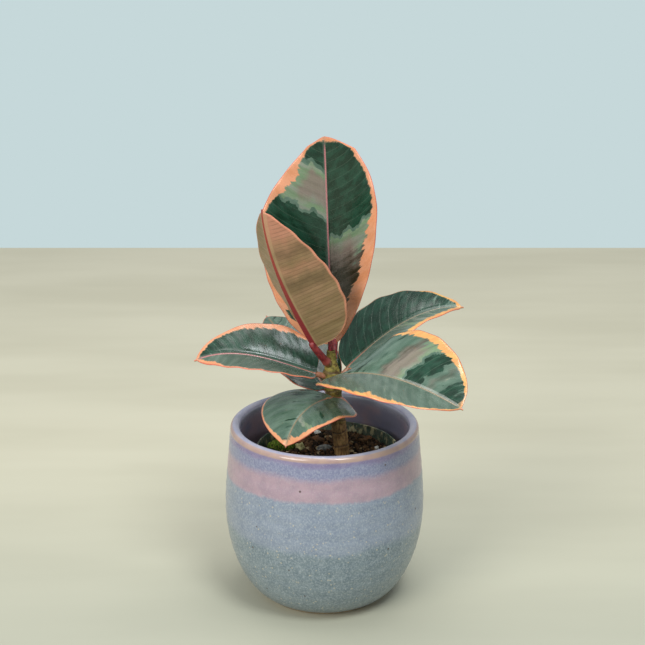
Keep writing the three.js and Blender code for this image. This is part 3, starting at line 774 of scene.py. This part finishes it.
def moss_cushion(node, seed):
    """A tuft of small pointed leaves over a rough cushion."""
    low, high = (np.array(corner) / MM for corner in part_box(node))
    centre, half = (low + high) / 2, (high - low) / 2
    rng = np.random.default_rng(seed)
    base, base_faces = round_lump(4)
    rough = fractal(base * half, 0.6, 3, seed)
    core = base * half * (0.86 + 0.16 * rough[:, None]) + centre
    count = int(34 * half[0] * half[1])
    direction = rng.normal(size=(count, 3))
    direction[:, 2] = np.abs(direction[:, 2]) + 0.15
    direction = unit(direction)
    root = centre + direction * half * 0.84
    lean = unit(direction * (1, 1, 1.3) + rng.normal(scale=0.45, size=(count, 3)))
    side = unit(np.cross(lean, rng.normal(size=(count, 3))))
    third = np.cross(lean, side)
    length = rng.uniform(0.8, 1.8, count)[:, None]
    width = rng.uniform(0.16, 0.3, count)[:, None]
    belly = root + lean * length * 0.45
    spikes = np.stack([root, belly + side * width, belly + third * width * 0.4, belly - side * width,
                       belly - third * width * 0.4, root + lean * length], 1)
    start = len(core)
    pattern = [(0, 2, 1), (0, 3, 2), (0, 4, 3), (0, 1, 4), (5, 1, 2), (5, 2, 3), (5, 3, 4), (5, 4, 1)]
    faces = base_faces + [tuple(start + 6 * n + i for i in f) for n in range(count) for f in pattern]
    leaflets = np.repeat(columns(rng.uniform(0.2, 1, count), rng.uniform(0, 1, count), 0), 6, 0)
    make_piece(node + "_tuft", np.vstack([core, spikes.reshape(-1, 3)]), faces, [MOSS_SURFACE],
               [node], attributes={"grain": np.vstack([np.tile((0.1, 0, 0), (start, 1)), leaflets])})


# ---- Stem and bud ----

STEM_PATH = [(9.7, -2.4, 71), (9.9, -1, 98), (3.2, 0.5, 116), (3.5, 2, 140)]
STEM_RADII = (4.3, 3.9, 2.3)
LEAF_SCARS = [(86, 2.2), (95, 4.6), (101, 0.6), (113.5, 5.2), (117.5, 2.9), (128, 0.4)]  # height, heading


def stem_piece():
    steps, sides = 260, 56
    path = bezier(STEM_PATH, np.linspace(0, 1, steps))
    height = path[:, 2]
    foot, waist, tip = STEM_RADII
    radius = foot + (waist - foot) * step_between(height, 71, 105)
    radius = radius + (tip - radius) * step_between(height, 124, 141)
    radius = radius + 1.3 * hump(height, 124, 7)
    angle = round_angles(sides)
    radii = np.repeat(radius[:, None], sides, 1)
    scar_depth = np.zeros_like(radii)
    for place, heading in LEAF_SCARS:
        tilt = place + 0.9 * np.cos(angle - heading)
        away = height[:, None] - tilt[None]
        radii = radii + 0.38 * hump(away, -0.5, 0.75) - 0.2 * hump(away, 0.6, 0.5)
        scar_depth += hump(away, 0.3, 0.55) * 0.8
        facing = np.cos(angle - heading)[None]
        scar_depth += hump(away, -1.8, 1.3) * step_between(facing, 0.55, 0.85) * 0.5
    points, out = sweep(path, radii, sides)
    squeezed = points * (1, 1, 0.3)
    woody = 1 - step_between(points[:, 2], 98, 112)
    rough = fractal(squeezed, 0.7, 4, 5.0) * (0.12 + 0.3 * woody)
    points = points + out * (rough - 0.05)[:, None]
    scar = columns(np.clip(scar_depth.ravel(), 0, 0.85), 0, 0)
    make_piece("main_stem_bark", points, ring_faces(steps, sides), [stem_surface()], ["main_stem"],
               attributes={"scar": scar})


BUD_RADII = (1.75, 0.25)


def bud_piece():
    foot = np.array(STEM_PATH[3]) + (0, 0, 0.3)
    steps, sides = 90, 40
    t = np.linspace(0, 1, steps)
    path = bezier([foot, foot + (-0.6, -0.4, 6), foot + (-1.6, -0.9, 12)], t)
    angle = round_angles(sides)
    base, point = BUD_RADII
    radius = base + (point - base) * t ** 1.4
    twist = angle[None] - 2.6 * t[:, None]
    overlap = 0.14 * np.sin(twist) ** 8 + 0.05 * np.sin(5 * twist)
    points, _ = sweep(path, radius[:, None] * (0.93 + overlap), sides)
    make_piece("terminal_bud_sheath", points, ring_faces(steps, sides), [bud_surface()],
               ["terminal_bud"])


# ---- Leaves ----

BLADE_END = 0.985
PLAIN_HALF = dict(sweep=0, end=BLADE_END, tone=[(0, 0), (1, 0)], olive=[(0, 0), (1, 0)])

# The blades follow the imported solids: base, length, directions in degrees from base to tip, and the
# outline and fold of the two halves, with what they share under `both`. Patterns are lists of (place
# from base to tip, value): `cream` is the margin's width, `tone` goes from dark 0 to pale 1 and `olive`
# browns the green, and on the young upright front leaf it gives two dark bands of painted shade where the
# blade buckles.
LEAVES = {
    "leaf_upright_back": dict(
        base=(5.6, 8.5, 141.5), length=113, azimuth=150, elevation=(84, 89, 87), roll=80,
        both=dict(fold=(28, 28, 24), curl=-8, end=1.05),
        left=dict(
            width=36.5, widest=0.56, shoulder=0.42, taper=1.12,
            cream=[(0, 6), (0.1, 6), (0.15, 2.4), (0.18, 2.4), (0.22, 6), (0.3, 3.6), (0.62, 1.8),
                   (0.71, 2.4), (0.75, 6.8), (0.82, 8), (0.88, 3.6), (0.95, 1.6), (1, 2)],
            tone=[(0, 0), (0.6, 0), (0.635, 1), (0.72, 1), (0.83, 0.95), (0.87, 0), (1, 0)],
            olive=[(0, 0), (0.65, 0), (0.7, 0.85), (0.8, 0.9), (0.82, 0), (1, 0)]),
        right=dict(
            width=34.5, widest=0.69, shoulder=0.72, taper=0.56,
            cream=[(0, 9), (0.17, 9.5), (0.3, 8), (0.42, 6.4), (0.55, 7), (0.64, 5), (0.7, 2.6),
                   (0.85, 2.4), (0.93, 3.2), (1, 1.6)],
            tone=[(0, 0.36), (0.16, 0.42), (0.3, 0.5), (0.37, 0.65), (0.43, 0.9), (0.5, 0.95), (0.53, 0),
                  (0.82, 0), (0.88, 0.2), (0.92, 0), (1, 0)],
            olive=[(0, 1), (0.42, 1), (0.46, 0.6), (0.49, 0), (1, 0)]),
        petiole=dict(node=133, bend=(5.2, 5.2, 136), radius=2), warmth=0.15, stalk=0.0),
    "leaf_upright_front": dict(
        base=(-5.3, -7, 145), length=85, azimuth=-150, elevation=(60, 62, 84), roll=-20, slant=0.1,
        both=dict(curl=(-10, -5, 0)),
        left=dict(
            width=28.5, fold=35, widest=0.33, shoulder=0.3, taper=0.72,
            cream=[(0, 1), (0.8, 1), (1, 3)],
            tone=[(0, 0), (0.5, 0.1), (0.56, 0.45), (0.62, 0.1), (0.74, 0.3), (0.82, 0.85), (1, 1)],
            # The two dark bands in this young leaf's olive pattern are painted shade where the blade
            # buckles.
            olive=[(0, 0), (0.38, 0), (0.46, 0.9), (0.53, 0), (0.62, 0), (0.68, 0.8), (0.74, 0), (1, 0)]),
        right=dict(width=17.5, fold=26, widest=0.62, shoulder=1.8, taper=0.68, cream=[(0, 1), (1, 1)]),
        petiole=dict(node=131, bend=(-0.5, -5, 137), radius=2), warmth=0.2, stalk=0.0, young=True),
    "leaf_left": dict(
        base=(-4.8, -3.5, 128.3), length=67, azimuth=(180, 182, 186), elevation=(18, 28, -24), roll=22,
        both=dict(curl=-10, widest=0.36, shoulder=0.25, taper=0.75),
        left=dict(
            width=20, fold=(34, 32, 0),
            cream=[(0, 0.7), (0.75, 0.7), (0.84, 2.6), (1, 2)],
            tone=[(0, 0.42), (0.3, 0.5), (0.8, 0.52), (0.84, 0.7), (0.9, 0.45), (1, 0.4)],
            olive=[(0, 0.35), (0.7, 0.3), (1, 0)]),
        right=dict(
            width=21.5, fold=(34, 30, 16),
            cream=[(0, 0.6), (0.2, 2.4), (0.42, 4), (0.6, 3.2), (0.8, 1.8), (1, 2)]),
        petiole=dict(node=124, bend=(0, -1, 127), radius=1.6), warmth=0.2, stalk=0.8),
    "leaf_back_left": dict(
        base=(1.5, 10, 115), length=64, azimuth=(130, 127, 124), elevation=(28, 27, 20), roll=12,
        both=dict(
            fold=14, curl=-10, widest=0.4, shoulder=0.35, taper=0.7,
            cream=[(0, 0.1), (1, 0.2)],
            tone=[(0, 0.1), (0.4, 0.1), (0.6, 0.3), (1, 0.4)]),
        left=dict(width=19),
        right=dict(width=20),
        petiole=dict(node=108, bend=(4, 6, 112), radius=1.5), warmth=0.6, stalk=1.0),
    "leaf_back_right": dict(
        base=(12.3, 11, 126.7), length=75, azimuth=(22, 16, 9), elevation=(38, 40, -8), roll=-5,
        both=dict(curl=-10, shoulder=0.4, taper=0.65),
        left=dict(
            width=25.5, fold=(24, 27, 20), widest=0.42,
            cream=[(0, 0.4), (0.72, 0.4), (0.85, 2), (1, 4)],
            tone=[(0, 0.05), (0.6, 0.05), (0.8, 0.2), (1, 0.5)]),
        right=dict(
            width=21.5, fold=(20, 20, 14), widest=0.4,
            cream=[(0, 0.6), (0.3, 1), (0.55, 3.4), (0.8, 3), (1, 4)],
            tone=[(0, 0.45), (0.3, 0.6), (0.5, 0.8), (0.7, 0.72), (1, 0.4)],
            olive=[(0, 0), (0.4, 0.25), (1, 0)]),
        petiole=dict(node=120, bend=(9, 6, 124), radius=1.6), warmth=1.0, stalk=0.8),
    "leaf_front_right": dict(
        base=(-3, -15, 127.5), length=87, azimuth=(-25, -30, -35), elevation=(34, -14, -18),
        roll=(20, -45, -20),
        both=dict(curl=-8, widest=0.5, shoulder=0.5, taper=0.5),
        left=dict(
            width=31, fold=(-15, 34, 22),
            cream=[(0, 0.8), (0.35, 1), (0.5, 3.4), (0.7, 4.6), (0.85, 3.4), (1, 2)],
            tone=[(0, 0.6), (0.12, 0.5), (0.2, 0.3), (0.36, 0.34), (0.4, 0.66), (0.5, 0.84), (0.56, 0.8),
                  (0.58, 0.05), (0.68, 0.05), (0.71, 0.6), (0.77, 0.7), (0.81, 0.2), (1, 0.2)],
            olive=[(0, 0), (0.39, 0), (0.43, 0.8), (0.52, 0.8), (0.55, 0), (0.71, 0), (0.74, 0.5),
                   (0.78, 0), (1, 0)]),
        right=dict(
            width=26, fold=(-12, 34, 26),
            cream=[(0, 4), (0.1, 2.6), (0.2, 1.8), (0.4, 2.2), (0.46, 2.6), (0.49, 7), (0.52, 3.4),
                   (0.64, 2.6), (0.75, 0.9), (1, 1.6)],
            tone=[(0, 0.66), (0.1, 0.62), (0.5, 0.6), (1, 0.46)],
            olive=[(0, 0.3), (1, 0.1)]),
        petiole=dict(node=121, bend=(-1, -8, 123), radius=1.6), warmth=0.85, stalk=1.0),
    "leaf_front": dict(
        base=(3.8, -10, 117), length=42, azimuth=(-145, -135, -115), elevation=(5, -25, -60),
        roll=(8, 4, 0),
        both=dict(curl=(-20, -20, -10), shoulder=0.45, olive=[(0, 0.1), (1, 0)]),
        left=dict(
            width=27, fold=(5, 22, 25), widest=0.3, taper=0.75, sweep=(-7, 0, 0),
            cream=[(0, 0.7), (0.25, 0.9), (0.4, 2.2), (0.6, 2), (0.72, 3.8), (1, 4.4)],
            tone=[(0, 0.38), (0.35, 0.36), (0.5, 0.42), (0.56, 0.9), (0.68, 0.5), (1, 0.5)]),
        right=dict(
            width=31, fold=0, widest=0.36, taper=0.95, sweep=(-2, 4, 0),
            cream=[(0, 0.4), (0.4, 1.0), (0.7, 1.2), (0.84, 3), (1, 4)],
            tone=[(0, 0.36), (0.4, 0.38), (0.7, 0.34), (1, 0.3)]),
        petiole=dict(node=110, bend=(6, -5, 116), radius=1.5), warmth=0.3, stalk=1.0, relief=0.16),
}
for leaf in LEAVES.values():
    for key in ("left", "right"):
        leaf[key] = {**PLAIN_HALF, **leaf.get("both", {}), **leaf[key]}

CLOSING = 0.04
LEAST_HALF_WIDTH = 0.9
HALF_THICKNESS = 0.4
MIDRIB_DEPTH = 1.5
MARGIN_WAVE = 0.35
VEIN_SLANT = 0.42
VEIN_RELIEF = 0.04
FLAT_CURL = 1e-4  # radians, in place of a curl of 0
LENGTH_STEPS = 190
WIDTH_STEPS = 64
PETIOLE_STEPS = 40
PETIOLE_SIDES = 28


def along(value, u):
    if not isinstance(value, tuple):
        return np.full_like(u, float(value))
    first, middle, last = value
    return (1 - u) ** 2 * first + 2 * u * (1 - u) * middle + u ** 2 * last


def blade_axes(leaf, u):
    keys = ("azimuth", "elevation", "roll")
    azimuth, elevation, roll = (np.radians(along(leaf[key], u)) for key in keys)
    growth = np.stack([np.cos(elevation) * np.cos(azimuth), np.cos(elevation) * np.sin(azimuth),
                       np.sin(elevation)], -1)
    level = np.stack([np.sin(azimuth), -np.cos(azimuth), np.zeros_like(u)], -1)
    face = np.cross(level, growth)
    cosine, sine = np.cos(roll)[:, None], np.sin(roll)[:, None]
    return growth, level * cosine + face * sine, face * cosine - level * sine


def outline(side, u):
    rise = np.sin(math.pi / 2 * np.clip(u / side["widest"], 0, 1)) ** side["shoulder"]
    narrowing = np.clip((u - side["widest"]) / (side["end"] - side["widest"]), 0, 1)
    closing = np.sqrt(np.clip((1 - u) / CLOSING, 0, 1))
    return np.where(u < side["widest"], rise, np.cos(math.pi / 2 * narrowing) ** side["taper"] * closing)


def stem_axis(height):
    t = np.linspace(0, 1, 400)
    path = bezier(STEM_PATH, t)
    return path[np.argmin(np.abs(path[:, 2] - height))]


def midrib_line(leaf, u):
    middle = (u[1:] + u[:-1]) / 2
    steps = blade_axes(leaf, middle)[0] * (np.diff(u) * leaf["length"])[:, None]
    return np.vstack([[leaf["base"]], np.asarray(leaf["base"]) + np.cumsum(steps, 0)])


def half_shape(side, u, reach):
    """A half's width, and how far its points lie across, above and along the midrib."""
    least = LEAST_HALF_WIDTH * (1 - 0.75 * step_between(u, 0.955, 1.0))
    width = np.maximum(side["width"] * outline(side, u), least)[:, None]
    fold = np.radians(along(side["fold"], u))[:, None]
    curl = np.radians(along(side["curl"], u))[:, None]
    curl = np.where(np.abs(curl) < FLAT_CURL, FLAT_CURL, curl)
    return (width, width / curl * (np.sin(fold + curl * reach) - np.sin(fold)),
            width / curl * (np.cos(fold) - np.cos(fold + curl * reach)),
            along(side["sweep"], u)[:, None] * reach ** 1.5)


def face_heights(leaf, u, x, q, reach, body):
    """Both faces: swollen between the side veins, grooved above and ribbed below at the midrib."""
    between = 0.5 - 0.5 * np.cos(TAU * q / VEIN_SPACING)
    calm = step_between(x, 1.0, 5.0) * (1 - step_between(reach, 0.86, 1.0)) * body
    edge_shape = np.sqrt(np.clip(1 - (np.clip(reach - 0.93, 0, None) / 0.07) ** 2, 0, 1))
    groove = -0.3 * hump(x, 0, 0.7) + 0.16 * hump(x, 1.7, 0.8)
    rib = MIDRIB_DEPTH * (1 - 0.75 * u[:, None]) * hump(x, 0, 1.15 - 0.5 * u[:, None])
    rib = rib * (1 - step_between(u, 0.93, 1))[:, None]
    above = HALF_THICKNESS * edge_shape + (leaf.get("relief", VEIN_RELIEF) * between * calm + groove * body)
    below = -HALF_THICKNESS * edge_shape - rib + 0.12 * between * calm - 0.06 * calm
    return above, below


def blade_patterns(leaf, seed, u, q, x, sign, edge):
    """The three vectors that the leaf materials read at each point of the blade."""
    ragged = 0.013 * np.sin(0.55 * x + 2 * seed + sign) + 0.006 * np.sin(1.4 * x + seed)
    sector = np.clip(q / leaf["length"] + ragged, 0, 1)
    from_base = np.broadcast_to(u[:, None], q.shape)

    def knots(key, at):
        both = (np.interp(at, *np.transpose(leaf[side][key])) for side in ("left", "right"))
        return np.where(sign < 0, *both)

    vectors = {
        "leaf_space": (q, sign * x, seed + 0.5 * (sign < 0)),
        "leaf_edge": (edge, knots("cream", from_base), knots("tone", sector)),
        "leaf_tint": (knots("olive", sector), leaf["warmth"], from_base),
    }
    return {key: np.stack(np.broadcast_arrays(*parts), -1).reshape(-1, 3) for key, parts in vectors.items()}


def petiole_tube(leaf, end):
    """From the stem to the underside of the blade, with each point's place along it."""
    stalk = leaf["petiole"]
    t = np.linspace(0, 1, PETIOLE_STEPS)
    path = bezier([stem_axis(stalk["node"]), stalk["bend"], end], t)
    swelling = 1 + 0.16 * hump(t, 0.3, 0.05) * (1 - leaf["stalk"])
    radius = stalk["radius"] * (1.15 - 0.25 * t) * swelling
    radius[-3:] *= (0.9, 0.7, 0.35)
    return sweep(path, radius, PETIOLE_SIDES)[0], np.repeat(t, PETIOLE_SIDES)


def leaf_piece(name, leaf, seed):
    count = LENGTH_STEPS + 1
    even = np.linspace(0, 1, count)
    u = even * 0.35 + 0.65 * (1 - np.cos(math.pi * even)) / 2
    growth, right, upper = blade_axes(leaf, u)
    midrib = midrib_line(leaf, u)

    # Across the blade: from the left margin over the top to the right margin, and back below.
    share = np.linspace(-1, 1, WIDTH_STEPS + 1)
    v_top = np.sign(share) * (0.55 * np.abs(share) + 0.45 * np.sin(np.abs(share) * math.pi / 2) ** 2)
    v = np.concatenate([v_top, v_top[-2:0:-1]])
    loop = len(v)
    top = np.arange(loop) <= WIDTH_STEPS
    sign = np.sign(v)
    reach = np.abs(v)[None]
    halves = zip(*(half_shape(leaf[key], u, reach) for key in ("left", "right")))
    width, across, lift, swept = (np.where(v < 0, *both) for both in halves)
    x = width * reach
    s = u[:, None] * leaf["length"]
    q = s - leaf.get("slant", VEIN_SLANT) * (x + 0.5 * width * reach ** 3)

    body = (step_between(u, 0.0, 0.06) * (1 - step_between(u, 0.94, 1.0)))[:, None]
    above, below = face_heights(leaf, u, x, q, reach, body)
    wave = MARGIN_WAVE * reach ** 4 * body * np.sin(TAU * s / (15 + 3 * sign) + seed * 1.7 + sign * 1.1)
    offset = np.where(top, above, below) + lift + wave
    points = (midrib[:, None] + right[:, None] * (sign * across)[..., None]
              + upper[:, None] * offset[..., None] + growth[:, None] * swept[..., None]).reshape(-1, 3)
    to_tip = (1 - u[:, None]) * leaf["length"] * 0.8 + 0.3
    edge = np.minimum(width * (1 - reach), to_tip)
    vectors = blade_patterns(leaf, seed, u, q, x, sign, edge)

    tube, place = petiole_tube(leaf, midrib[0] + growth[0] * 4 - upper[0] * 0.9)
    faces = ring_faces(count, loop) + ring_faces(PETIOLE_STEPS, PETIOLE_SIDES, start=len(points))
    # Material 0 is the upper face, 1 the lower one and 2 the petiole.
    kinds = np.concatenate([np.tile(np.where(np.arange(loop) < WIDTH_STEPS, 0, 1), count - 1), [0, 0],
                            np.full((PETIOLE_STEPS - 1) * PETIOLE_SIDES + 2, 2)])
    bare = {"leaf_tint": columns(0, leaf["stalk"], place)}
    vectors = {key: np.vstack([on_blade, bare.get(key, np.zeros_like(tube))])
               for key, on_blade in vectors.items()}
    under = LEAF_UNDER_YOUNG if leaf.get("young") else LEAF_UNDER
    make_piece(name + "_blade", np.vstack([points, tube]), faces, [LEAF_TOP, under, PETIOLE],
               [name], face_materials=kinds, attributes=vectors)


# ---- Everything in place ----

LEAF_TOP = leaf_top()
LEAF_UNDER = leaf_under()
LEAF_UNDER_YOUNG = leaf_under_young()
PETIOLE = petiole_surface()
# Each grain surface: two tones of a grain, two rarer hues and a shadow, then the noise's scale, the
# range of roughness and the bump's strength.
SOIL_SURFACE = grain_surface(
    "potting_mix", [(38, 28, 18), (96, 70, 46), (122, 92, 62), (176, 156, 120), (20, 16, 12)],
    1.1, (0.8, 0.97), 0.8)
MOSS_SURFACE = grain_surface(
    "moss", [(40, 70, 20), (122, 158, 52), (170, 182, 80), (130, 104, 54), (28, 44, 14)],
    0.9, (0.7, 0.9), 0.4)
CHIP_SURFACE = grain_surface(
    "pale_chip", [(150, 146, 100), (200, 196, 142), (190, 186, 130), (0, 0, 0), (104, 96, 60)],
    0.8, (0.7, 0.9), 0.6)
PEBBLE_SURFACE = grain_surface(
    "pebble", [(92, 94, 92), (142, 144, 138), (120, 120, 112), (0, 0, 0), (66, 62, 54)],
    1.0, (0.55, 0.8), 0.4)
PERLITE_SURFACE = grain_surface(
    "perlite", [(196, 198, 194), (226, 226, 220), (226, 226, 220), (0, 0, 0), (150, 146, 134)],
    1.6, (0.75, 0.95), 0.7)
BARK_SURFACE = bark_surface()

planter_piece()
soil_piece()
crumbs()
fibres()
stem_piece()
bud_piece()
for number, (name, leaf) in enumerate(LEAVES.items()):
    leaf_piece(name, leaf, number + 1)

nursery_pot()
for seed, node in numbered("moss", 40):
    moss_cushion(node, seed)
for seed, node in numbered("bark", 60):
    refined(node, 0.55, 0.7, seed, BARK_SURFACE, "_chip", grained=True)
refined("pale_chip", 0.6, 0.6, 71, CHIP_SURFACE, "_lump")
refined("pebble", 0.25, 0.5, 72, PEBBLE_SURFACE, "_stone")
for seed, node in numbered("perlite", 80):
    refined(node, 0.35, 1.2, seed, PERLITE_SURFACE, "_grain")

# ---- Floor, world, lights and camera ----

FLOOR_FRONT = -4.0
FLOOR_HALF_WIDTH = 4.0
AMBIENT = 0.6
AMBIENT_COLOUR = (208, 214, 222)
SENSOR_WIDTH = 36
LIGHTS = [
    # name, place, aim, size, power, colour
    ("window", (-1.0, -1.2, 0.95), (0, 0, 0.12), 1.0, 17, (1.0, 0.965, 0.92)),
    ("above", (0.15, 0.1, 1.55), (0, 0, 0.1), 0.9, 8, (1.0, 0.99, 0.97)),
    ("front", (0.35, -0.7, 1.4), (0, 0, 0.1), 0.5, 9, (0.93, 0.975, 1.0)),
]


def stage_floor():
    work = bmesh.new()
    bmesh.ops.create_grid(work, x_segments=8, y_segments=8, size=1)
    mesh = bpy.data.meshes.new("floor")
    work.to_mesh(mesh)
    work.free()
    for vertex in mesh.vertices:
        vertex.co.x *= FLOOR_HALF_WIDTH
        vertex.co.y = FLOOR_FRONT + (TABLE_BACK - FLOOR_FRONT) * (vertex.co.y + 1) / 2
    mesh.materials.append(floor_surface())
    floor = bpy.data.objects.new("floor", mesh)
    bpy.context.scene.collection.objects.link(floor)


def set_world():
    """The camera sees the sky colour, and everything else is lit by the ambient one."""
    world = bpy.data.worlds.new("studio")
    world.use_nodes = True
    tree = world.node_tree
    seen = tree.nodes["Background"]
    seen.inputs["Color"].default_value = tint(*SKY)
    ambient = tree.nodes.new("ShaderNodeBackground")
    ambient.inputs["Color"].default_value = tint(*AMBIENT_COLOUR)
    ambient.inputs["Strength"].default_value = AMBIENT
    rays = tree.nodes.new("ShaderNodeLightPath")
    chosen = tree.nodes.new("ShaderNodeMixShader")
    for index, source in enumerate((rays.outputs["Is Camera Ray"], ambient.outputs[0], seen.outputs[0])):
        tree.links.new(source, chosen.inputs[index])
    tree.links.new(chosen.outputs[0], tree.nodes["World Output"].inputs["Surface"])
    bpy.context.scene.world = world


def light(name, place, aim, size, power, color):
    lamp = bpy.data.lights.new(name, "AREA")
    lamp.shape = "DISK"
    lamp.size = size
    lamp.energy = power
    lamp.color = color
    item = bpy.data.objects.new(name, lamp)
    item.location = place
    item.rotation_mode = "QUATERNION"
    item.rotation_quaternion = (Vector(aim) - Vector(place)).to_track_quat("-Z", "Y")
    bpy.context.scene.collection.objects.link(item)


def place_camera():
    camera = bpy.data.objects.new("camera", bpy.data.cameras.new("camera"))
    camera.location = CAMERA["location"]
    camera.rotation_euler = (math.radians(90 - CAMERA["pitch"]), 0, 0)
    camera.data.lens = CAMERA["lens"]
    camera.data.sensor_width = SENSOR_WIDTH
    camera.data.clip_start = 0.01
    bpy.context.scene.collection.objects.link(camera)
    bpy.context.scene.camera = camera


stage_floor()
set_world()
for row in LIGHTS:
    light(*row)
place_camera()
bpy.context.scene.view_settings.view_transform = "Standard"

bpy.context.view_layer.update()
